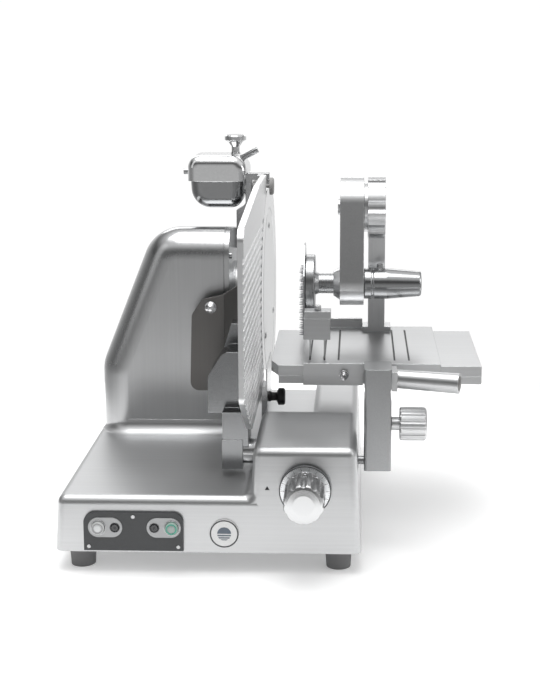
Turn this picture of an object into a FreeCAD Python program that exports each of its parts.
"""Vertical deli slicer with a 350 mm blade, a food carriage and a built-in sharpener.

+X points to the operator's right, +Y away from the operator and +Z up, in millimetres. Pieces
are described in machine coordinates: X = 0 near the right side of the base, Y = 0 at the front
of the base and Z = 0 on the worktop. origin_x and origin_y move them to the part's own frame,
whose origin is on the worktop in the middle of the object's box.
"""
import FreeCAD, Part
import math
import os
import Sketcher
from FreeCAD import Placement, Rotation, Vector

CELLS = {
    # part frame
    "origin_x": 114.5, "origin_y": -283.5,
    # base casting
    "base_left": -413, "base_right": 9, "base_back": 560, "skirt": 30, "slab_top": 108,
    "draft": 0.052, "base_round": 12, "wall": 6, "box_left": -147, "box_back": 200, "box_top": 177,
    "ridge_left": -72, "ridge_front": 12, "ridge_back": 545, "ridge_top": 158, "foot_radius": 19,
    "cover_sheet": 2, "fit_gap": 0.5,
    # motor housing and its side plate
    "house_left": -403, "house_right": -205, "house_front": 292, "house_back": 552,
    "house_top": 438.5, "slope_foot": 214, "slope_top_x": -313, "shell": 5,
    "top_fall": 0.155, "bend_round": 62, "rim_round": 45, "back_round": 24, "plate_step": 2.5,
    "plate_right": -197, "plate_front": 294.5, "plate_back": 549.5,
    # blade, spindle and guard
    "blade_x": -144.5, "blade_y": 439, "blade_z": 309, "blade_radius": 175,
    "blade_thick": 5, "recess": 3, "recess_radius": 140, "cover_radius": 136,
    "cover_thick": 2.4, "boss_radius": 46, "boss_right": -161, "shaft_radius": 12,
    "shaft_bore": 7, "shaft_left": -292, "bearing_radius": 26, "bearing_width": 14,
    "flange_radius": 40, "flange_thick": 8, "tie_radius": 5,
    "guard_inner": 178, "guard_outer": 188, "guard_left": -157,
    # drive
    "pulley_left": -284, "pulley_width": 22, "pulley_radius": 55, "pinion_radius": 20,
    "motor_z": 186, "motor_radius": 58, "motor_left": -380, "motor_right": -298,
    "motor_shaft_radius": 9, "belt_gap": 0.4, "belt_thick": 3, "belt_width": 16,
    # thickness gauge
    "gauge_front": -45, "gauge_thick": 8.5, "gauge_low": 187, "gauge_high": 508,
    "gauge_gap": 3, "gauge_back": 384, "rib_pitch": 12.5, "groove": 7, "groove_deep": 1.6,
    "bar_radius": 18, "bar_y": 115, "bar_z": 139, "bar_right": -58,
    "bar_foot": -161,
    # thickness dial
    "dial_x": -68, "dial_z": 121, "dial_radius": 35, "dial_thick": 5, "knob_front": -60,
    "knob_radius": 28, "flute": 6,
    # controls
    "panel_left": -372, "panel_right": -235, "panel_low": 33, "panel_high": 87,
    "panel_thick": 3, "panel_round": 14, "stop_x": -351.5, "start_x": -250.5,
    "button_z": 66.5, "button_radius": 9, "button_front": -9, "lamp_radius": 5.7,
    "badge_x": -179, "badge_z": 58, "badge_radius": 20,
    # carriage
    "table_left": -126, "table_right": 184, "table_front": 172, "table_back": 398,
    "table_low": 235.5, "table_high": 251, "feed_left": -77.5, "feed_right": 124,
    "feed_front": 167, "feed_back": 410, "feed_sheet": 4, "feed_lift": 0.4,
    "apron_low": 222.5, "apron_short": 242.5, "slot_front": 187, "slot_back": 385,
    "slot_width": 2.6, "arm_left": 12, "arm_right": 50.5, "arm_front": 84, "arm_back": 134,
    "arm_low": 120, "arm_high": 250, "stub_y": 109, "stub_z": 128, "stub_radius": 6,
    "stroke": 330, "rod_x": -30, "rod_radius": 12.5,
    "rod_front": 14, "rod_back": 528, "running": 0.05, "handle_radius": 14.4,
    "handle_z": 250, "handle_length": 94, "handle_turn": -15, "lock_z": 183,
    "lock_radius": 24,
    # pusher
    "pivot_y": 390, "pivot_z": 456, "head_radius": 51, "post_left": 18, "post_right": 45.5,
    "link_left": -26, "link_right": 11.5, "hub_y": 340, "hub_z": 341, "hub_radius": 34,
    "pivot_radius": 10, "push_radius": 16, "disc_left": -80, "disc_right": -65,
    "disc_radius": 45.5, "grip_right": 102, "grip_radius": 24.5, "grip_end": 20,
    "spike_plate": 2, "spike_low": 262, "spike_high": 404, "spike_length": 7,
    "spike_base": 1.6, "spike_pitch": 12,
    # front clamp
    "clamp_left": -77.5, "clamp_right": -38.5, "clamp_front": 195, "clamp_back": 216,
    "clamp_low": 284, "clamp_high": 327,
    # sharpener
    "bowl_left": -269, "bowl_right": -182, "bowl_front": 397, "bowl_back": 481,
    "bowl_low": 451, "lid_low": 495, "lid_high": 536, "knob_top": 567, "key_z": 504,
    "press_z": 470, "press_y": 468, "stone_radius": 20, "hone_y": 407, "hone_z": 487,
    "hone_radius": 14, "hone_tilt": 62, "hone_length": 34,
}


class Size:
    """A length that knows its value and the spreadsheet expression it comes from."""

    def __init__(self, value, text):
        self.value = value
        self.text = text

    def __add__(self, other):
        other = size(other)
        return Size(self.value + other.value, f"({self.text} + {other.text})")

    def __sub__(self, other):
        other = size(other)
        return Size(self.value - other.value, f"({self.text} - {other.text})")

    def __mul__(self, other):
        other = size(other)
        return Size(self.value * other.value, f"({self.text} * {other.text})")

    def __truediv__(self, other):
        other = size(other)
        return Size(self.value / other.value, f"({self.text} / {other.text})")

    def __radd__(self, other):
        return size(other) + self

    def __rsub__(self, other):
        return size(other) - self

    def __rmul__(self, other):
        return size(other) * self

    def __neg__(self):
        return Size(-self.value, f"(0 - {self.text})")


def size(number):
    """The number itself if it is a Size already, or else a constant."""
    if isinstance(number, Size):
        return number
    number = round(float(number), 6)
    return Size(number, f"({number})")


class Sheet:
    """The spreadsheet, whose cells read as attributes."""

    def __init__(self, document, cells):
        self.cells = document.addObject("Spreadsheet::Sheet", "Sheet")
        self.values = cells
        for row, (alias, number) in enumerate(cells.items(), start=1):
            self.cells.set(f"A{row}", alias)
            self.cells.set(f"B{row}", str(number))
            self.cells.setAlias(f"B{row}", alias)
        document.recompute()

    def __getattr__(self, alias):
        return Size(float(self.values[alias]), f"Sheet.{alias}")


doc = FreeCAD.newDocument("DeliSlicer")
s = Sheet(doc, CELLS)
nodes = []

TO_X = Rotation(Vector(0, 1, 0), 90)
TO_Y = Rotation(Vector(1, 0, 0), -90)
AXES = {"X": TO_X, "Y": TO_Y, "Z": Rotation()}


# ---------------------------------------------------------------- helpers

def bind(item, path, length):
    """Binds one property of a document object to the spreadsheet."""
    item.setExpression(path, size(length).text)


def place(item, x, y, z, rotation=None):
    """Puts an object at a point in machine coordinates."""
    item.Placement = Placement(Vector(), rotation or Rotation())
    bind(item, "Placement.Base.x", s.origin_x + x)
    bind(item, "Placement.Base.y", s.origin_y + y)
    bind(item, "Placement.Base.z", z)
    return item


def block(name, x, y, z):
    """Box between two X, two Y and two Z values."""
    box = doc.addObject("Part::Box", name)
    for path, (low, high) in zip(("Length", "Width", "Height"), (x, y, z)):
        bind(box, path, size(high) - low)
    return place(box, x[0], y[0], z[0])


def frustum(name, foot, top, z):
    """Tapered box. foot and top are (x0, x1, y0, y1) at the two heights in z."""
    wedge = doc.addObject("Part::Wedge", name)
    bind(wedge, "Ymin", 0)
    bind(wedge, "Ymax", size(z[1]) - z[0])
    bind(wedge, "Xmin", foot[0])
    bind(wedge, "Xmax", foot[1])
    bind(wedge, "Zmin", -size(foot[3]))
    bind(wedge, "Zmax", -size(foot[2]))
    bind(wedge, "X2min", top[0])
    bind(wedge, "X2max", top[1])
    bind(wedge, "Z2min", -size(top[3]))
    bind(wedge, "Z2max", -size(top[2]))
    return place(wedge, 0, 0, z[0], Rotation(Vector(1, 0, 0), 90))


def along(axis, start, centre):
    """Point at a distance along one axis, its other two coordinates being centre."""
    if axis == "X":
        return (start, centre[0], centre[1])
    if axis == "Y":
        return (centre[0], start, centre[1])
    return (centre[0], centre[1], start)


def rod(name, axis, radius, span, centre):
    """Cylinder along an axis, from span[0] to span[1]."""
    cylinder = doc.addObject("Part::Cylinder", name)
    bind(cylinder, "Radius", radius)
    bind(cylinder, "Height", size(span[1]) - span[0])
    return place(cylinder, *along(axis, span[0], centre), AXES[axis])


def taper(name, axis, radii, span, centre):
    """Cone frustum along an axis."""
    cone = doc.addObject("Part::Cone", name)
    bind(cone, "Radius1", radii[0])
    bind(cone, "Radius2", radii[1])
    bind(cone, "Height", size(span[1]) - span[0])
    return place(cone, *along(axis, span[0], centre), AXES[axis])


def fuse(name, *parts):
    union = doc.addObject("Part::MultiFuse", name)
    union.Shapes = list(parts)
    union.Refine = True
    return union


def cut(name, base, *tools):
    tool = tools[0] if len(tools) == 1 else fuse(name + "Tools", *tools)
    difference = doc.addObject("Part::Cut", name)
    difference.Base = base
    difference.Tool = tool
    difference.Refine = True
    return difference


def group(name, parts):
    """Several separate solids in one object."""
    compound = doc.addObject("Part::Compound", name)
    compound.Links = list(parts)
    return compound


def rounded(name, base, radius, chosen):
    """Fillets the edges for which chosen(edge) is true."""
    doc.recompute()
    fillet = doc.addObject("Part::Fillet", name)
    fillet.Base = base
    picked = [i for i, edge in enumerate(base.Shape.Edges, start=1) if chosen(edge)]
    fillet.Edges = [(i, size(radius).value, size(radius).value) for i in picked]
    return fillet


def origin_plane(body, role):
    return next(item for item in body.Origin.OriginFeatures if item.Role == role)


def sketch_on(body, role, corners):
    """Closed polygon on an origin plane, with every corner bound to the spreadsheet."""
    sketch = body.newObject("Sketcher::SketchObject", body.Name + "Outline")
    sketch.AttachmentSupport = (origin_plane(body, role), [""])
    sketch.MapMode = "FlatFace"
    corners = [(size(u), size(v)) for u, v in corners]
    points = [Vector(u.value, v.value, 0) for u, v in corners]
    for start, end in zip(points, points[1:] + points[:1]):
        sketch.addGeometry(Part.LineSegment(start, end), False)
    for i in range(len(points)):
        sketch.addConstraint(Sketcher.Constraint("Coincident", i, 2, (i + 1) % len(points), 1))
    for i, corner in enumerate(corners):
        for kind, coordinate in zip(("DistanceX", "DistanceY"), corner):
            rule = Sketcher.Constraint(kind, -1, 1, i, 1, coordinate.value)
            index = sketch.addConstraint(rule)
            sketch.setExpression(f"Constraints[{index}]", coordinate.text)
    return sketch


def prism(name, axis, corners, span, rounds=()):
    """Body padded from a polygon along an axis, then filleted.

    corners are (X, Z) for axis Y, (Y, Z) for axis X and (X, Y) for axis Z. rounds holds
    (radius, chosen) pairs, where chosen(edge) picks the edges in the body's own frame.
    """
    body = doc.addObject("PartDesign::Body", name)
    role = {"X": "YZ_Plane", "Y": "XZ_Plane", "Z": "XY_Plane"}[axis]
    sketch = sketch_on(body, role, corners)
    pad = body.newObject("PartDesign::Pad", name + "Pad")
    pad.Profile = sketch
    bind(pad, "Length", size(span[1]) - span[0])
    pad.Reversed = axis == "Y"
    for number, (radius, chosen) in enumerate(rounds):
        doc.recompute()
        base = body.Tip
        picked = [f"Edge{i}" for i, e in enumerate(base.Shape.Edges, start=1) if chosen(e)]
        fillet = body.newObject("PartDesign::Fillet", f"{name}Round{number}")
        fillet.Base = (base, picked)
        bind(fillet, "Radius", radius)
        body.Tip = fillet
    start = {"X": (span[0], 0, 0), "Y": (0, span[0], 0), "Z": (0, 0, span[0])}[axis]
    return place(body, *start)


def turned(name, axis, outline, centre):
    """Body revolved about an axis from (distance along the axis, radius) corners."""
    body = doc.addObject("PartDesign::Body", name)
    sketch = sketch_on(body, "XZ_Plane", [(radius, distance) for distance, radius in outline])
    revolution = body.newObject("PartDesign::Revolution", name + "Turn")
    revolution.Profile = sketch
    revolution.ReferenceAxis = (sketch, ["V_Axis"])
    revolution.Angle = 360
    return place(body, *along(axis, 0, centre), AXES[axis])


def ring_of(name, axis, count, reach, radius, span, centre, first=0.0):
    """Cylinders on a circle round an axis, used for flutes, screws and holes."""
    rods = []
    for i in range(count):
        angle = math.radians(first + 360.0 * i / count)
        spot = (centre[0] + reach * math.cos(angle), centre[1] + reach * math.sin(angle))
        rods.append(rod(f"{name}{i}", axis, radius, span, spot))
    return rods


def parallel(edge, direction):
    """True for a straight edge along a direction."""
    if edge.Curve.TypeId != "Part::GeomLine":
        return False
    return abs(abs(edge.Curve.Direction.dot(direction)) - 1) < 1e-6


def node(item, label):
    """Names a finished sub-part, which is written to its own file."""
    item.Label = label
    nodes.append(item)
    return item


# ---------------------------------------------------------------- base

def base_shell(name, inset, low, round_edges):
    """The base's outer form, or its cavity when inset is the wall."""
    def casting(part, left, front, back, top):
        lift = s.draft * (top - inset - low)
        foot = (left + inset, s.base_right - inset, front + inset, back - inset)
        crown = (foot[0] + lift, foot[1] - lift, foot[2] + lift, foot[3] - lift)
        solid = frustum(name + part, foot, crown, (low, top - inset))
        if not round_edges:
            return solid
        return rounded(name + part + "Soft", solid, s.base_round,
                       lambda edge: edge.BoundBox.ZMax > low.value + 1)

    slab = casting("Slab", s.base_left, size(0), s.base_back, s.slab_top)
    box = casting("Box", s.box_left, size(0), s.box_back, s.box_top)
    ridge = casting("Ridge", s.ridge_left, s.ridge_front, s.ridge_back, s.ridge_top)
    return fuse(name, slab, box, ridge)


def base_casting():
    crowned = base_shell("BaseOutside", size(0), s.skirt, True)
    inside = base_shell("BaseInside", s.wall, s.skirt - 1, False)
    slot = block("CarriageSlot", (s.base_right - 30, s.base_right + 5),
                 (s.stub_y - 10, s.stub_y + s.stroke + 12), (s.stub_z - 9, s.stub_z + 9))
    bar_hole = rod("BarHole", "X", s.bar_radius + s.running,
                   (s.box_left - 10, s.box_left + 25), (s.bar_y, s.bar_z))
    dial_hole = rod("DialHole", "Y", 8 + s.running, (-5, 15), (s.dial_x, s.dial_z))
    holes = [rod(f"PanelHole{i}", "Y", s.button_radius + 0.6, (-5, 15), (x, s.button_z))
             for i, x in enumerate((s.stop_x, s.start_x))]
    rod_hole = rod("RodHole", "Y", s.rod_radius, (s.rod_front, s.rod_back),
                   (s.rod_x, s.stub_z))
    gland = rod("GlandHole", "Y", 9, (s.base_back - 15, s.base_back + 5), (-350, 62))
    shell = cut("BaseShell", crowned, inside, slot, bar_hole, dial_hole, gland, *holes)
    pillars = [block(f"RodPillar{i}", (s.rod_x - 19, s.rod_x + 19), span,
                     (s.stub_z - 20, s.stub_z + 19))
               for i, span in enumerate(((8, s.rod_front + 16),
                                         (s.rod_back - 16, s.ridge_back - 9)))]
    node(cut("BaseCasting", fuse("BaseWhole", shell, *pillars), rod_hole), "base_casting")
    return crowned


def base_bottom():
    gap = s.wall + s.fit_gap
    node(block("BottomCover", (s.base_left + gap, s.base_right - gap),
               (gap, s.base_back - gap), (s.skirt, s.skirt + s.cover_sheet)), "bottom_cover")
    feet = []
    for i, x in enumerate((s.base_left + 32, s.base_right - 32)):
        for j, y in enumerate((size(34), s.base_back - 34)):
            feet.append(taper(f"Foot{i}{j}", "Z", (s.foot_radius - 2, s.foot_radius),
                              (0, s.skirt), (x, y)))
    node(group("Feet", feet), "rubber_feet")
    node(turned("Gland", "Y", [(s.base_back - 14, 5), (s.base_back + 16, 5),
                               (s.base_back + 16, 9), (s.base_back + 12, 11.5),
                               (s.base_back + 0.5, 12.5), (s.base_back, 12.5),
                               (s.base_back, 8.9), (s.base_back - 14, 8.9)], (-350, 62)),
         "cable_gland")


def housing_form(name, inset):
    """Housing's outer form, or its cavity when inset is the wall. The top falls to the back."""
    lean = (s.slope_top_x - s.house_left) / (s.house_top - s.slope_foot)
    crown = s.house_top - inset
    outline = [(s.house_left + inset, s.slab_top), (s.house_left + inset, s.slope_foot),
               (s.house_left + inset + (crown - s.slope_foot) * lean, crown),
               (s.house_right, crown), (s.house_right, s.slab_top)]
    front = s.house_front + inset
    back = s.house_back - inset
    raw = prism(name + "Raw", "Y", outline, (front, back))
    low_back = crown - (back - front) * s.top_fall
    wedge = prism(name + "Wedge", "X", [
        (front, crown), (front, crown + 60), (back + 1, crown + 60), (back + 1, low_back)],
        (s.house_left - 5, s.house_right + 5))
    solid = cut(name + "Leaning", raw, wedge)

    doc.recompute()
    whole = solid.Shape.BoundBox

    def walls(edge):
        box = edge.BoundBox
        return box.XMin < whole.XMax - 1 and box.ZMax > whole.ZMin + 1

    def bends(edge):
        return walls(edge) and edge.BoundBox.YLength > 100

    def rim(side):
        def chosen(edge):
            box = edge.BoundBox
            return walls(edge) and box.YLength < 0.01 \
                and (box.YMin < whole.Center.y) == (side == "front")
        return chosen

    soft = rounded(name + "Bent", solid, s.bend_round - inset, bends)
    soft = rounded(name + "Front", soft, s.rim_round - inset, rim("front"))
    return rounded(name + "Form", soft, s.back_round - inset, rim("back"))


def motor_housing():
    node(cut("HousingShell", housing_form("HousingOuter", size(0)),
             housing_form("HousingInner", s.shell)), "motor_housing")


def side_plate():
    """Plate that closes the housing and carries the spindle boss and the blade guard."""
    top = s.house_top - s.plate_step
    corners = [(s.plate_front, s.slab_top), (s.plate_front, top),
               (s.plate_back, top - (s.plate_back - s.plate_front) * s.top_fall),
               (s.plate_back, s.slab_top)]

    def crown(side):
        def chosen(edge):
            return parallel(edge, Vector(1, 0, 0)) and edge.BoundBox.ZMin > 300 \
                and (edge.BoundBox.ZMin > 420) == (side == "front")
        return chosen

    plate = prism("PlateBlank", "X", corners, (s.house_right, s.plate_right),
                  [(s.rim_round - s.plate_step, crown("front")),
                   (s.back_round - s.plate_step, crown("back"))])
    bore = rod("PlateBore", "X", s.bearing_radius, (s.house_right - 1, s.plate_right + 1),
               (s.blade_y, s.blade_z))
    node(cut("SidePlate", plate, bore), "side_plate")


# ---------------------------------------------------------------- blade and drive

def spindle():
    axis = (s.blade_y, s.blade_z)
    back = s.blade_x - s.blade_thick
    boss = turned("BossBlank", "X", [
        (s.plate_right, s.bearing_radius), (s.plate_right, s.boss_radius + 8),
        (s.plate_right + 6, s.boss_radius + 8), (s.plate_right + 10, s.boss_radius),
        (s.boss_right - 2, s.boss_radius), (s.boss_right, s.boss_radius - 2),
        (s.boss_right, s.bearing_radius)], axis)
    node(boss, "spindle_boss")
    rings = []
    for i, left in enumerate((s.house_right, s.boss_right - s.bearing_width)):
        rings.append(turned(f"Bearing{i}", "X", [
            (left, s.shaft_radius + s.running), (left + s.bearing_width,
                                                 s.shaft_radius + s.running),
            (left + s.bearing_width, s.bearing_radius), (left, s.bearing_radius)], axis))
    node(group("Bearings", rings), "spindle_bearings")
    node(turned("Spindle", "X", [
        (s.shaft_left, s.shaft_bore), (s.shaft_left, s.shaft_radius),
        (back - s.flange_thick, s.shaft_radius), (back - s.flange_thick, s.flange_radius),
        (back, s.flange_radius), (back, s.shaft_bore)], axis), "spindle_shaft")
    node(turned("Blade", "X", [
        (back, s.shaft_bore), (back, s.blade_radius - 14), (s.blade_x - 0.8, s.blade_radius),
        (s.blade_x, s.blade_radius), (s.blade_x, s.recess_radius),
        (s.blade_x - s.recess, s.recess_radius - 3), (s.blade_x - s.recess, s.shaft_bore)],
        axis), "blade")
    node(turned("Cover", "X", [
        (s.shaft_left - 14, 0), (s.shaft_left - 14, 12), (s.shaft_left - 4, 12),
        (s.shaft_left - 4, s.tie_radius), (s.blade_x - s.cover_thick, s.tie_radius),
        (s.blade_x - s.cover_thick, s.cover_radius - 2), (s.blade_x - 1, s.cover_radius),
        (s.blade_x, s.cover_radius - 1), (s.blade_x, 0)], axis), "blade_cover")
    pulley_right = s.pulley_left + s.pulley_width
    rim = s.pulley_radius
    node(turned("BladePulley", "X", [
        (s.pulley_left, s.shaft_radius), (s.pulley_left, rim + 4),
        (s.pulley_left + 2, rim + 4), (s.pulley_left + 2, rim),
        (pulley_right - 2, rim), (pulley_right - 2, rim + 4), (pulley_right, rim + 4),
        (pulley_right, s.shaft_radius)], axis), "blade_pulley")


def guard_sector():
    """Wedge in front of the blade, where the ring guard is open."""
    reach = 300
    top = math.radians(108)
    low = math.radians(49)
    return prism("GuardSector", "X", [
        (s.blade_y, s.blade_z),
        (s.blade_y - reach * math.cos(top), s.blade_z + reach * math.sin(top)),
        (s.blade_y - reach, s.blade_z + reach), (s.blade_y - reach, s.blade_z - reach),
        (s.blade_y - reach * math.cos(low), s.blade_z - reach * math.sin(low))],
        (s.guard_left - 5, s.blade_x + 5))


def guard():
    axis = (s.blade_y, s.blade_z)
    ring = turned("GuardRing", "X", [
        (s.guard_left, s.guard_inner), (s.guard_left, s.guard_outer - 2),
        (s.guard_left + 2, s.guard_outer), (s.blade_x - 2, s.guard_outer),
        (s.blade_x, s.guard_outer - 2), (s.blade_x, s.guard_inner)], axis)
    node(cut("RingGuard", ring, guard_sector()), "ring_guard")
    spacers = []
    for i, degrees in enumerate((140, 215, 300)):
        angle = math.radians(degrees)
        reach = (s.guard_inner + s.guard_outer) / 2
        spot = (s.blade_y - reach * math.cos(angle), s.blade_z + reach * math.sin(angle))
        foot = (s.blade_y - 0.62 * reach * math.cos(angle),
                s.blade_z + 0.62 * reach * math.sin(angle))
        spacers.append(spacer(f"Spacer{i}", spot, foot))
    node(group("Spacers", spacers), "guard_spacers")


def spacer(name, spot, foot):
    """Cranked stay from the side plate out to the ring guard."""
    middle = s.plate_right + 12
    pin = rod(name + "Pin", "X", 4, (middle - 4, s.guard_left), spot)
    heel = rod(name + "Heel", "X", 9, (s.plate_right, middle - 3), foot)
    span = (spot[0].value - foot[0].value, spot[1].value - foot[1].value)
    bar = doc.addObject("Part::Box", name + "Bar")
    bind(bar, "Length", 8)
    bind(bar, "Width", math.hypot(*span) + 6)
    bind(bar, "Height", 12)
    turn = Rotation(Vector(1, 0, 0), math.degrees(math.atan2(span[1], span[0])))
    shift = turn.multVec(Vector(0, 0, -6))
    place(bar, middle - 8, foot[0] + shift.y, foot[1] + shift.z, turn)
    return fuse(name, pin, heel, bar)


def drive():
    axis = (s.blade_y, s.motor_z)
    right = s.pulley_left + s.pulley_width
    node(turned("MotorBody", "X", [
        (s.motor_left, 0), (s.motor_left, s.motor_radius - 6), (s.motor_left + 6, s.motor_radius),
        (s.motor_right - 4, s.motor_radius), (s.motor_right - 4, s.motor_radius + 4),
        (s.motor_right, s.motor_radius + 4), (s.motor_right, 0)], axis), "motor")
    mount = fuse("MountBlank",
                 block("MountWeb", (s.motor_right, s.motor_right + 6),
                       (s.blade_y - 66, s.blade_y + 66), (s.slab_top, s.motor_z + 50)),
                 block("MountFoot", (s.motor_right, s.motor_right + 60),
                       (s.blade_y - 66, s.blade_y + 66), (s.slab_top, s.slab_top + 6)))
    bore = rod("MountBore", "X", s.motor_shaft_radius + 2,
               (s.motor_right - 1, s.motor_right + 7), axis)
    node(cut("MotorMount", mount, bore), "motor_mount")
    node(turned("MotorPulley", "X", [
        (s.motor_right + s.fit_gap, 0), (s.motor_right + s.fit_gap, s.motor_shaft_radius),
        (s.pulley_left, s.motor_shaft_radius), (s.pulley_left, s.pinion_radius + 4),
        (s.pulley_left + 2, s.pinion_radius + 4), (s.pulley_left + 2, s.pinion_radius),
        (right - 2, s.pinion_radius), (right - 2, s.pinion_radius + 4),
        (right, s.pinion_radius + 4), (right, 0)], axis), "motor_pulley")
    drive_belt()


def drive_belt():
    """Flat belt: the two pulley circles and their common tangents, thickened outwards."""
    big = s.pulley_radius.value + s.belt_gap.value
    small = s.pinion_radius.value + s.belt_gap.value
    centre = s.blade_z.value - s.motor_z.value
    lean = math.asin((big - small) / centre)
    side = Vector(math.cos(lean), -math.sin(lean), 0)
    upper = Vector(0, centre, 0)

    def mirror(point):
        return Vector(-point.x, point.y, 0)

    points = [upper + side * big, side * small]
    wire = Part.Wire(Part.__sortEdges__([
        Part.makeLine(points[0], points[1]),
        Part.Arc(points[1], Vector(0, -small, 0), mirror(points[1])).toShape(),
        Part.makeLine(mirror(points[1]), mirror(points[0])),
        Part.Arc(mirror(points[0]), upper + Vector(0, big, 0), points[0]).toShape()]))
    outer = Part.Face(wire.makeOffset2D(s.belt_thick.value))
    loop = outer.cut(Part.Face(wire)).extrude(Vector(0, 0, s.belt_width.value))
    belt = doc.addObject("Part::Feature", "Belt")
    belt.Shape = loop
    turn = Rotation(Vector(0, 1, 0), Vector(0, 0, 1), Vector(1, 0, 0), "XYZ")
    left = s.pulley_left + (s.pulley_width - s.belt_width) / 2
    place(belt, left, s.blade_y, s.motor_z, turn)
    node(belt, "drive_belt")


# ---------------------------------------------------------------- gauge and dial

def gauge():
    left = s.blade_x - s.gauge_thick
    corners = [(s.gauge_front, 256), (s.gauge_front, s.gauge_high - 34),
               (s.gauge_front + 14, s.gauge_high - 22), (236, s.gauge_high),
               (s.gauge_back, s.gauge_high), (s.gauge_back, s.gauge_low), (62, s.gauge_low)]

    def front_corners(edge):
        return parallel(edge, Vector(1, 0, 0)) and edge.BoundBox.YMax < 70

    plate = prism("GaugeBlank", "X", corners, (left, s.blade_x), [(12, front_corners)])
    clear = rod("BladeClearance", "X", s.blade_radius + s.gauge_gap, (left - 1, s.blade_x + 1),
                (s.blade_y, s.blade_z))
    grooves = []
    count = int((s.gauge_high.value - 62 - s.gauge_low.value) / s.rib_pitch.value)
    for i in range(count):
        low = s.gauge_low + 16 + i * s.rib_pitch
        grooves.append(block(f"Groove{i}", (s.blade_x - s.groove_deep, s.blade_x + 1),
                             (s.gauge_front - 5, s.gauge_back + 5), (low, low + s.groove)))
    node(cut("GaugePlate", plate, clear, *grooves), "gauge_plate")

    hood = prism("Hood", "Y", [(-213, 192), (-213, 246), (-190, 282), (left, 282),
                               (left, 192)], (124, 188),
                 [(16, lambda e: parallel(e, Vector(0, 1, 0)) and e.BoundBox.XMax < -180
                   and e.BoundBox.ZMin > 200)])
    crest = prism("Crest", "Y", [(-196, 270), (-183, 312), (left, 312), (left, 270)],
                  (176, 206))
    web = block("HoodWeb", (-190, left), (98, 150), (150, 200))
    foot = block("HoodFoot", (-191, s.bar_foot), (96, 134), (117, 160))
    bar = (s.bar_y, s.bar_z)
    bar_left = s.bar_foot
    seat = rod("BarSeat", "X", s.bar_radius, (bar_left, s.bar_right), bar)
    node(cut("GaugeBracket", fuse("BracketSolid", hood, crest, web, foot), seat), "gauge_bracket")
    node(rod("GuideBar", "X", s.bar_radius, (bar_left, s.bar_right), bar), "gauge_guide_bar")


def dial():
    centre = (s.dial_x, s.dial_z)
    face = 2
    disc_front = face - s.dial_thick - s.fit_gap
    node(turned("DialDisc", "Y", [
        (face, 8), (face, s.dial_radius),
        (disc_front + 1, s.dial_radius), (disc_front, s.dial_radius - 1), (disc_front, 8)],
        centre), "dial_disc")
    blank = turned("KnobBlank", "Y", [
        (disc_front, 8), (disc_front, s.knob_radius - 1), (disc_front - 1, s.knob_radius),
        (s.knob_front + 5, s.knob_radius - 0.5), (s.knob_front + 2.4, s.knob_radius - 2),
        (s.knob_front + 0.9, s.knob_radius - 6), (s.knob_front, s.knob_radius - 14),
        (s.knob_front, 0), (s.knob_front + 12, 0), (s.knob_front + 12, 8)], centre)
    flutes = ring_of("DialFlute", "Y", 12, s.knob_radius.value + 3, s.flute,
                     (s.knob_front - 2, disc_front - 3), centre)
    node(cut("DialKnob", blank, *flutes), "dial_knob")
    node(turned("DialShaft", "Y", [
        (s.knob_front + 12, 0), (s.knob_front + 12, 8), (70, 8), (70, 15), (80, 15), (80, 0)],
        centre), "dial_shaft")


# ---------------------------------------------------------------- controls

def controls(base):
    """Panel, its plates, lamps, screws and buttons, and the plain round badge."""
    front = -s.panel_thick

    def top_corners(edge):
        return parallel(edge, Vector(0, 1, 0)) and edge.BoundBox.ZMin > s.button_z.value

    panel = prism("PanelBlank", "Y", [
        (s.panel_left, s.panel_low), (s.panel_left, s.panel_high),
        (s.panel_right, s.panel_high), (s.panel_right, s.panel_low)], (front, 4),
        [(s.panel_round, top_corners)])
    holes = [rod(f"PanelBore{i}", "Y", s.button_radius + 0.4, (front - 1, 10),
                 (x, s.button_z))
             for i, x in enumerate((s.stop_x, s.start_x))]
    node(cut("ControlPanel", panel, base, *holes), "control_panel")
    plates = []
    for i, x in enumerate((-342, -261.5)):
        blank = prism(f"LegendBlank{i}", "Y", [
            (x - 23.5, s.button_z - 14), (x - 23.5, s.button_z + 14),
            (x + 23.5, s.button_z + 14), (x + 23.5, s.button_z - 14)],
            (front - 1, front),
            [(13.9, lambda e: parallel(e, Vector(0, 1, 0)))])
        bores = [rod(f"LegendBore{i}{j}", "Y", radius, (front - 2, front + 1),
                     (hole_x, s.button_z))
                 for j, (hole_x, radius) in enumerate((
                     ((s.stop_x, s.start_x)[i], s.button_radius + 0.4),
                     ((-328.7, -274.4)[i], s.lamp_radius)))]
        plates.append(cut(f"Legend{i}", blank, *bores))
    node(group("Legends", plates), "legend_plates")
    lamps = [taper(f"Lamp{i}", "Y", (s.lamp_radius - 1, s.lamp_radius),
                   (front - 2.5, front), (x, s.button_z))
             for i, x in enumerate((-328.7, -274.4))]
    node(group("Lamps", lamps), "indicator_lamps")
    screws = [rod(f"PanelScrew{i}", "Y", 2.6, (front - 1, front), spot)
              for i, spot in enumerate(((-303.5, s.panel_high - 5), (-365, s.panel_low + 6),
                                        (-242, s.panel_low + 6)))]
    node(group("PanelScrews", screws), "panel_screws")
    for label, x in (("stop_button", s.stop_x), ("start_button", s.start_x)):
        node(turned(label.title().replace("_", ""), "Y", [
            (s.button_front, 0), (s.button_front, s.button_radius - 1.5),
            (s.button_front + 1.5, s.button_radius), (1, s.button_radius),
            (1, 6), (16, 6), (16, 0)], (x, s.button_z)), label)
    badge = turned("BadgeBlank", "Y", [
        (-1.2, 0), (-1.2, s.badge_radius - 0.8), (-0.4, s.badge_radius), (4, s.badge_radius),
        (4, 0)], (s.badge_x, s.badge_z))
    node(cut("Badge", badge, base), "badge_plate")


# ---------------------------------------------------------------- carriage

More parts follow.
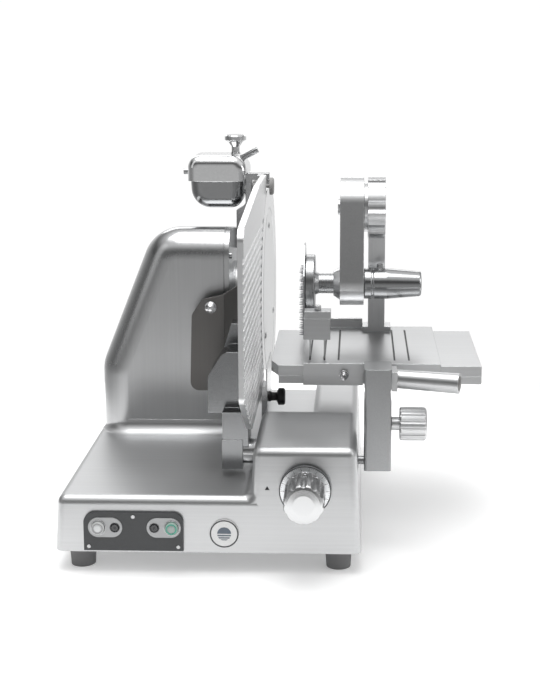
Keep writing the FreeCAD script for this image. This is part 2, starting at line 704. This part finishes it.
def carriage():
    def chamfered(low, high, name):
        return prism(name, "Z", [
            (s.table_left, s.table_front + 28), (s.table_left + 12, s.table_front),
            (s.table_right, s.table_front), (s.table_right, s.table_back),
            (s.table_left, s.table_back)], (low, high))

    top = chamfered(s.table_low, s.table_high, "TableTop")
    rails = [block(f"TableRail{i}", (s.table_left + 12, s.table_right), span,
                   (s.table_low - 12, s.table_low + 1))
             for i, span in enumerate(((s.table_front + 1, s.table_front + 11),
                                       (s.table_back - 14, s.table_back - 4)))]
    node(fuse("CarriageTable", top, *rails), "carriage_table")

    upright = block("ArmUpright", (s.arm_left, s.arm_right), (s.arm_front, s.arm_back),
                    (s.arm_low, s.arm_high + 18))
    beam = block("ArmBeam", (s.arm_left + 2, s.arm_right - 2), (s.arm_back - 2, 300),
                 (s.table_low - 40, s.table_low - 13.5))
    pad = block("ArmPad", (s.arm_left + 2, s.arm_right - 2), (215, 300),
                (s.table_low - 14, s.table_low))
    stub = rod("ArmStub", "X", s.stub_radius, (s.rod_x + 22, s.arm_left + 1),
               (s.stub_y, s.stub_z))
    soft = rounded("ArmSoft", upright, 4, lambda e: parallel(e, Vector(0, 0, 1)))
    arm = fuse("ArmBlank", soft, beam, pad, stub)
    waist = [rod("WaistLeft", "Y", 26, (s.arm_front - 1, s.arm_back + 1),
                 (s.arm_left - 24.2, 232)),
             rod("WaistRight", "Y", 26, (s.arm_front - 1, s.arm_back + 1),
                 (s.arm_right + 24.2, 232))]
    bore = rod("LockBore", "X", 6 + s.running, (s.arm_left + 12, s.arm_right + 1),
               (s.stub_y, s.lock_z))
    node(cut("CarriageArm", arm, bore, *waist), "carriage_arm")

    grip = doc.addObject("Part::Cone", "HandleGrip")
    bind(grip, "Radius1", s.handle_radius - 1)
    bind(grip, "Radius2", s.handle_radius)
    bind(grip, "Height", s.handle_length)
    turn = Rotation(Vector(0, 0, 1), s.handle_turn.value) * TO_X
    place(grip, s.arm_right + 4, s.stub_y + 4, s.handle_z - 2, turn)
    saddle = prism("HandleSaddle", "X", [
        (s.stub_y - 14, s.handle_z - 16), (s.stub_y - 14, s.handle_z + 12),
        (s.stub_y + 22, s.handle_z + 12), (s.stub_y + 22, s.handle_z - 16)],
        (s.arm_right, s.arm_right + 8))
    handle = fuse("HandleBlank", grip, saddle)
    node(handle, "carriage_handle")

    slide = block("SlideBlank", (s.rod_x - 21, s.rod_x + 22), (s.stub_y - 23, s.stub_y + 27),
                  (s.stub_z - 21, s.stub_z + 20))
    bore = rod("SlideBore", "Y", s.rod_radius + s.running,
               (s.stub_y - 30, s.stub_y + 30), (s.rod_x, s.stub_z))
    node(cut("SlideBlock", slide, bore), "slide_block")
    node(rod("CarriageRod", "Y", s.rod_radius, (s.rod_front, s.rod_back),
             (s.rod_x, s.stub_z)), "carriage_rod")
    knob("LockKnob", "X", (s.arm_right + 12, s.arm_right + 50.5), s.lock_radius,
         (s.stub_y, s.lock_z), 6, (s.arm_left + 14, s.arm_right + 13), 16, 9.5,
         "carriage_lock_knob")


def knob(name, axis, head, radius, centre, stem_radius, stem, flutes, neck_radius, label):
    """Fluted hand knob on a threaded stem with a short neck."""
    body = turned(name + "Blank", axis, [
        (stem[0], 0), (stem[0], stem_radius), (s.arm_right + s.fit_gap, stem_radius),
        (s.arm_right + s.fit_gap, neck_radius), (head[0], neck_radius), (head[0], radius - 2),
        (head[0] + 2, radius), (head[1] - 3, radius), (head[1], radius - 3), (head[1], 0)],
        centre)
    cuts = ring_of(name + "Flute", axis, flutes, radius.value + 1.2, 2.8,
                   (head[0] - 1, head[1] + 1), centre)
    node(cut(name, body, *cuts), label)


def feed_table():
    low = s.table_high + s.feed_lift
    high = low + s.feed_sheet
    sheet = block("FeedSheet", (s.feed_left, s.feed_right), (s.feed_front, s.feed_back),
                  (low, high))
    front = (s.feed_front, s.feed_front + s.feed_sheet)
    apron = block("FeedApron", (s.feed_left, s.arm_right - 40), front, (s.apron_low, high))
    lip = block("FeedLip", (s.feed_left, s.feed_right), front, (s.apron_short, high))
    slots = [block(f"FeedSlot{i}", (x - s.slot_width / 2, x + s.slot_width / 2),
                   (s.slot_front, s.slot_back), (low - 1, high + 1))
             for i, x in enumerate((-68.3, -47, -25.7, 57, 78.3))]
    stop = (-17.5, 239)
    stud_hole = rod("StopHole", "Y", 3.1, (s.feed_front - 1, s.feed_front + 6), stop)
    node(cut("FeedTable", fuse("FeedBlank", sheet, apron, lip), stud_hole, *slots),
         "feed_table")
    node(block("RearFence", (-75, s.post_left - 8), (s.feed_back - 9, s.feed_back - 2),
               (high, high + 15)), "rear_fence")
    node(turned("TableStop", "Y", [
        (s.feed_front - 20, 0), (s.feed_front - 18, 4.5), (s.feed_front - 12, 6),
        (s.feed_front - 6, 4.5), (s.feed_front - 5, 7), (s.feed_front - 0.4, 7),
        (s.feed_front - 0.4, 3), (s.feed_front + s.feed_sheet, 3),
        (s.feed_front + s.feed_sheet, 0)], stop), "table_stop_knob")
    post(high)


def post(low):
    """Upright with a scalloped indexing head, and the pivot that the arm swings on."""
    centre = (s.pivot_y, s.pivot_z)
    head = rod("HeadDisc", "X", s.head_radius, (s.post_left, s.post_right), centre)
    stem = block("PostStem", (s.post_left + 1, s.post_right), (s.pivot_y - 18, s.pivot_y + 18),
                 (low, s.pivot_z))
    foot = block("PostFoot", (s.post_left - 8, s.post_right + 10),
                 (s.pivot_y - 18, s.pivot_y + 18), (low, low + 8))
    spacer_disc = rod("PivotSpacer", "X", 40, (s.link_right + s.fit_gap, s.post_left + 1),
                      centre)
    scallops = ring_of("Scallop", "X", 8, s.head_radius.value + 9, 14,
                       (s.post_left - 1, s.post_right + 1), centre, first=172)
    at_stem = scallops.pop(2)
    doc.removeObject(at_stem.Name)
    wheel = cut("ScallopedHead", head, *scallops)
    pin = turned("PivotPin", "X", [
        (s.link_left - 4, 0), (s.link_left - 4, 13), (s.link_left - s.fit_gap, 13),
        (s.link_left - s.fit_gap, s.pivot_radius), (s.post_left + 2, s.pivot_radius),
        (s.post_left + 2, 0)], centre)
    node(fuse("PusherPost", wheel, stem, foot, spacer_disc, pin), "pusher_post")


def pusher():
    link = swing_link()
    pivot_bore = rod("LinkPivotBore", "X", s.pivot_radius + s.running,
                     (s.link_left - 1, s.link_right + 1), (s.pivot_y, s.pivot_z))
    hub_bore = rod("LinkHubBore", "X", s.push_radius + s.running,
                   (s.link_left - 20, s.link_right + 1), (s.hub_y, s.hub_z))
    node(cut("PusherArm", link, pivot_bore, hub_bore), "pusher_arm")
    hub = (s.hub_y, s.hub_z)
    node(turned("PushShaft", "X", [
        (s.disc_left, 0), (s.disc_left, s.disc_radius - 1.5),
        (s.disc_left + 1.5, s.disc_radius), (s.disc_right - 1.5, s.disc_radius),
        (s.disc_right, s.disc_radius - 1.5), (s.disc_right, s.push_radius + 3),
        (s.disc_right + 6, s.push_radius), (s.link_right + s.fit_gap, s.push_radius),
        (s.link_right + s.fit_gap, 0)], hub), "pusher_shaft")
    start = s.link_right + s.fit_gap
    grip = turned("GripBlank", "X", [
        (start, 0), (start, s.grip_radius - 1.5), (start + 1.5, s.grip_radius),
        (start + 11, s.grip_radius), (start + 12, s.grip_radius - 1.2),
        (start + 14, s.grip_radius - 1.2), (start + 16, s.grip_radius - 0.3),
        (48, s.grip_radius), (s.grip_right - 3, s.grip_end), (s.grip_right - 0.8, s.grip_end - 1),
        (s.grip_right, s.grip_end - 3), (s.grip_right, 0)], hub)
    catch = rod("GripCatch", "Z", 5, (s.hub_z + 12, s.hub_z + 31), (37, s.hub_y))
    node(fuse("PusherGrip", grip, catch), "pusher_grip")

    plate_left = s.disc_left - s.spike_plate
    width = 50
    corners = [(s.hub_y - width, s.spike_low), (s.hub_y - width, s.hub_z + 20),
               (s.hub_y - 12, s.spike_high), (s.hub_y + 12, s.spike_high),
               (s.hub_y + width, s.hub_z + 20), (s.hub_y + width, s.spike_low)]
    node(prism("SpikePlate", "X", corners, (plate_left, s.disc_left)), "spike_plate")
    spikes = []
    rows = int((s.hub_z.value + 40 - s.spike_low.value) / s.spike_pitch.value)
    for row in range(rows):
        shift = 0.5 * (row % 2)
        for column in range(-4, 5):
            y = (column + shift - 0.25) * s.spike_pitch
            if abs(y.value) > width - 4:
                continue
            if row > rows - 3 and abs(y.value) > width - 16:
                continue
            z = s.spike_low + 5 + row * s.spike_pitch
            spikes.append(taper(f"Spike{row}x{column + 4}", "X", (0.3, s.spike_base),
                                (plate_left - s.spike_length, plate_left),
                                (s.hub_y + y, z)))
    node(group("Spikes", spikes), "pusher_spikes")


def swing_link():
    """Arm whose outline is the hull of the pivot disc and the hub disc."""
    big = s.head_radius.value - 1
    small = s.hub_radius.value
    drop = Vector(s.hub_y.value - s.pivot_y.value, s.hub_z.value - s.pivot_z.value, 0)
    aim = math.atan2(drop.y, drop.x)
    lean = math.acos((big - small) / drop.Length)
    corners = []
    for sign in (1, -1):
        angle = aim + sign * lean
        corners.append((s.pivot_y + big * math.cos(angle), s.pivot_z + big * math.sin(angle)))
        corners.append((s.hub_y + small * math.cos(angle), s.hub_z + small * math.sin(angle)))
    web = prism("LinkWeb", "X", [corners[0], corners[1], corners[3], corners[2]],
                (s.link_left, s.link_right))
    top = rod("LinkTop", "X", big, (s.link_left, s.link_right), (s.pivot_y, s.pivot_z))
    hub = rod("LinkHub", "X", small, (s.link_left, s.link_right), (s.hub_y, s.hub_z))
    nose = taper("LinkNose", "X", (s.push_radius + 4, s.push_radius + 10),
                 (s.link_left - 10, s.link_left), (s.hub_y, s.hub_z))
    return fuse("LinkBlank", top, hub, web, nose)


def front_clamp():
    body = block("ClampBody", (s.clamp_left, s.clamp_right), (s.clamp_front, s.clamp_back),
                 (s.clamp_low, s.clamp_high - 11))
    cap = block("ClampCap", (s.clamp_left + 1, s.clamp_right + 1),
                (s.clamp_front - 2, s.clamp_back + 2), (s.clamp_high - 11, s.clamp_high))
    low = s.table_high + s.feed_lift + 0.5
    prongs = [block(f"Prong{i}", (x - 0.9, x + 0.9), (s.clamp_front + 3, s.clamp_back - 3),
                    (low, s.clamp_low + 1))
              for i, x in enumerate((size(-68.3), size(-47)))]
    bore = rod("ClampBore", "Z", 3 + s.running, (s.clamp_high - 30, s.clamp_high + 1),
               (-57, (s.clamp_front + s.clamp_back) / 2))
    node(cut("ClampBlock", fuse("ClampBlank", body, cap, *prongs), bore), "clamp_block")
    node(turned("ClampScrew", "Z", [
        (s.clamp_high - 26, 0), (s.clamp_high - 26, 3), (s.clamp_high + s.fit_gap, 3),
        (s.clamp_high + s.fit_gap, 5), (s.clamp_high + 7, 5), (s.clamp_high + 7, 0)],
        (-57, (s.clamp_front + s.clamp_back) / 2)), "clamp_screw")


# ---------------------------------------------------------------- guards and deflector

def deflector():
    """Sheet beside the blade that turns the slices over, with its fixing screw."""
    flange = prism("DeflectorFlange", "Y", [
        (-256, 186), (-252, 306), (-236, 330), (-202, 338), (-202, 186)], (262, 264.5),
        [(14, lambda e: parallel(e, Vector(0, 1, 0)) and e.BoundBox.XMax < -210)])
    wing = prism("DeflectorWing", "Z", [
        (-203, 262), (-170, 288.8), (-171.6, 290.8), (-203, 264.5)], (196, 356))
    slope = prism("DeflectorTop", "Y", [(-204, 338), (-166, 357), (-160, 400), (-210, 400)],
                  (255, 300))
    sheet = cut("DeflectorSheet", fuse("DeflectorBlank", flange, wing), slope)
    stay = block("DeflectorStay", (-236, -216), (264, s.house_front), (212, 232))
    node(fuse("SliceDeflector", sheet, stay), "slice_deflector")
    node(turned("DeflectorKnob", "Y", [
        (250, 0), (250.5, 4), (254, 7.4), (259, 7.4), (260, 9), (262, 9), (262, 0)],
        (-222.5, 318)), "deflector_screw")


def lower_guard():
    """Small upright guard below the table, with the hand knob that holds it."""
    sheet = block("GuardSheet", (-136.2, -134.2), (224, 326), (164, 232))
    bracket = block("GuardBracket", (-143, -136.2), (224, 256), (s.slab_top, 204))
    bore = rod("GuardBore", "X", 3 + s.running, (-144, -134), (240, 184))
    node(cut("LowerGuard", fuse("GuardBlank", sheet, bracket), bore), "lower_guard")
    blank = turned("GuardKnobBlank", "X", [
        (-142, 0), (-142, 3), (-133.7, 3), (-133.7, 8), (-131, 8), (-128, 6.5), (-121, 6.5),
        (-118, 13), (-110, 13), (-108, 11), (-108, 0)], (240, 184))
    node(blank, "guard_knob")


# ---------------------------------------------------------------- sharpener

def sharpener():
    front = (s.bowl_front, s.bowl_back)
    bowl_left = s.bowl_left
    bowl_right = s.bowl_right

    def low_edge(side):
        def chosen(edge):
            box = edge.BoundBox
            return parallel(edge, Vector(0, 1, 0)) and box.ZMax < s.lid_low.value - 1 \
                and (box.XMin < bowl_left.value + 20) == (side == "left")
        return chosen

    def side_edges(edge):
        box = edge.BoundBox
        return box.YLength < 0.01 and box.ZMin < s.lid_low.value - 1

    def bowl_form(inset):
        return [(bowl_left + inset, s.lid_low), (bowl_left + 3 + inset, s.bowl_low + inset),
                (bowl_right - 3 - inset, s.bowl_low + inset), (bowl_right - inset, s.lid_low)]

    outer = prism("BowlOuter", "Y", bowl_form(size(0)), front,
                  [(32, low_edge("left")), (20, low_edge("right")), (19, side_edges)])
    inner = prism("BowlInner", "Y", bowl_form(size(4)), (s.bowl_front + 4, s.bowl_back - 4),
                  [(28, low_edge("left")), (16, low_edge("right")), (14, side_edges)])
    press_bore = rod("PressBore", "X", 5 + s.running, (bowl_right - 18, bowl_right + 5),
                     (s.press_y, s.press_z))
    node(cut("SharpenerBowl", outer, inner, press_bore), "sharpener_bowl")

    def lid_bends(edge):
        return parallel(edge, Vector(0, 1, 0)) and edge.BoundBox.ZMin > s.lid_low.value + 14

    def lid_rims(edge):
        box = edge.BoundBox
        return box.YLength < 0.01 and box.ZMax > s.lid_low.value + 14

    lid_body = prism("LidOuter", "Y", [
        (bowl_left - 4, s.lid_low), (bowl_left - 4, s.lid_high), (-193, s.lid_high),
        (-176, s.lid_high - 16), (-176, 505.5), (-183, 505.5), (-183, s.lid_low)],
        front, [(20, lid_bends), (15, lid_rims)])
    hollow = block("LidHollow", (bowl_left + 10, -202), (s.bowl_front + 7, s.bowl_back - 7),
                   (s.lid_low - 1, s.lid_high - 9))
    key_bore = rod("KeyBore", "X", 5 + s.running, (bowl_left - 5, bowl_left + 14),
                   (s.press_y, s.key_z))
    centre = (s.bowl_front + s.bowl_back) / 2
    tilt = Rotation(Vector(0, 1, 0), s.hone_tilt.value)
    node(cut("SharpenerLid", lid_body, hollow, key_bore,
             slant_rod("HoneBore", 5 + s.running, s.hone_length, tilt, centre, 8)),
         "sharpener_lid")
    node(slant_rod("HoneButton", size(5), s.hone_length, tilt, centre, 0), "honing_button")
    node(turned("SharpenerKnob", "Z", [
        (s.lid_high + 0.3, 0), (s.lid_high + 0.3, 8), (s.lid_high + 4, 6.5),
        (s.lid_high + 12, 6.5), (s.lid_high + 20, 12), (s.knob_top - 8, 17.5),
        (s.knob_top - 2, 17.5), (s.knob_top, 15), (s.knob_top, 0)], (-198, centre)),
        "sharpener_knob")
    strip = prism("BracketStrip", "Y", [
        (-182, 505), (-143, 505), (-143, 494), (-171, 494), (-175, 446), (-184, 438),
        (-184, 382), (s.plate_right, 382), (s.plate_right, 444), (-186, 450.5),
        (-182, 456)], (centre - 8, centre + 8))
    pin_bore = rod("HonePinBore", "X", 3 + s.running, (-165, -145), (s.hone_y, s.hone_z))
    hanger = block("HoneHanger", (-160, -151), (s.hone_y - 8, centre - 6), (481, 505))
    node(cut("SharpenerBracket", fuse("BracketBlank", strip, hanger), pin_bore),
         "sharpener_bracket")
    node(turned("HoneStone", "X", [
        (-168, 0), (-168, 5), (-165, 5), (-165, 3), (-140.5, 3), (-140.5, s.hone_radius),
        (-136, s.hone_radius), (-134, s.hone_radius - 2), (-134, 0)],
        (s.hone_y, s.hone_z)), "honing_stone")
    crank = block("GrindCrank", (-248, -240), (s.press_y - 4.5, s.press_y + 4.5),
                  (s.press_z - 4.5, s.key_z + 4.5))
    key = rod("GrindKey", "X", 4.9, (-287, -246), (s.press_y, s.key_z))
    spindle_pin = rod("GrindPin", "X", 4.9, (-242, -176), (s.press_y, s.press_z))
    node(fuse("GrindPlunger", crank, key, spindle_pin), "grinding_plunger")
    node(turned("GrindStone", "X", [
        (-175.7, 0), (-175.7, 8), (-171, s.stone_radius), (-163.5, s.stone_radius),
        (-163.5, 0)], (s.press_y, s.press_z)), "grinding_stone")


def slant_rod(name, radius, length, tilt, y, extra):
    """Rod through the lid's sloping side. extra lengthens it inwards."""
    start = Vector(-192, 0, 527) - tilt.multVec(Vector(0, 0, extra))
    rod_body = doc.addObject("Part::Cylinder", name)
    bind(rod_body, "Radius", radius)
    bind(rod_body, "Height", length + extra)
    return place(rod_body, start.x, y, start.z, tilt)


def build():
    base = base_casting()
    base_bottom()
    motor_housing()
    side_plate()
    spindle()
    guard()
    drive()
    gauge()
    dial()
    controls(base)
    carriage()
    feed_table()
    pusher()
    front_clamp()
    deflector()
    lower_guard()
    sharpener()


def check_and_write():
    """Stops at any failed object, and otherwise writes one file per sub-part."""
    doc.recompute()
    failed = [f"{item.Name}: {item.State}" for item in doc.Objects
              if "Invalid" in item.State or "Error" in item.State]
    if failed:
        raise RuntimeError("failed objects: " + "; ".join(failed))
    for item in nodes:
        if item.Shape.isNull() or not item.Shape.isValid():
            raise RuntimeError("bad shape: " + item.Label)
    os.makedirs("parts", exist_ok=True)
    for item in nodes:
        item.Shape.exportStep(f"parts/{item.Label}.step")
    whole = Part.makeCompound([item.Shape for item in nodes])
    print(len(nodes), "sub-parts, box", whole.BoundBox)


build()
check_and_write()
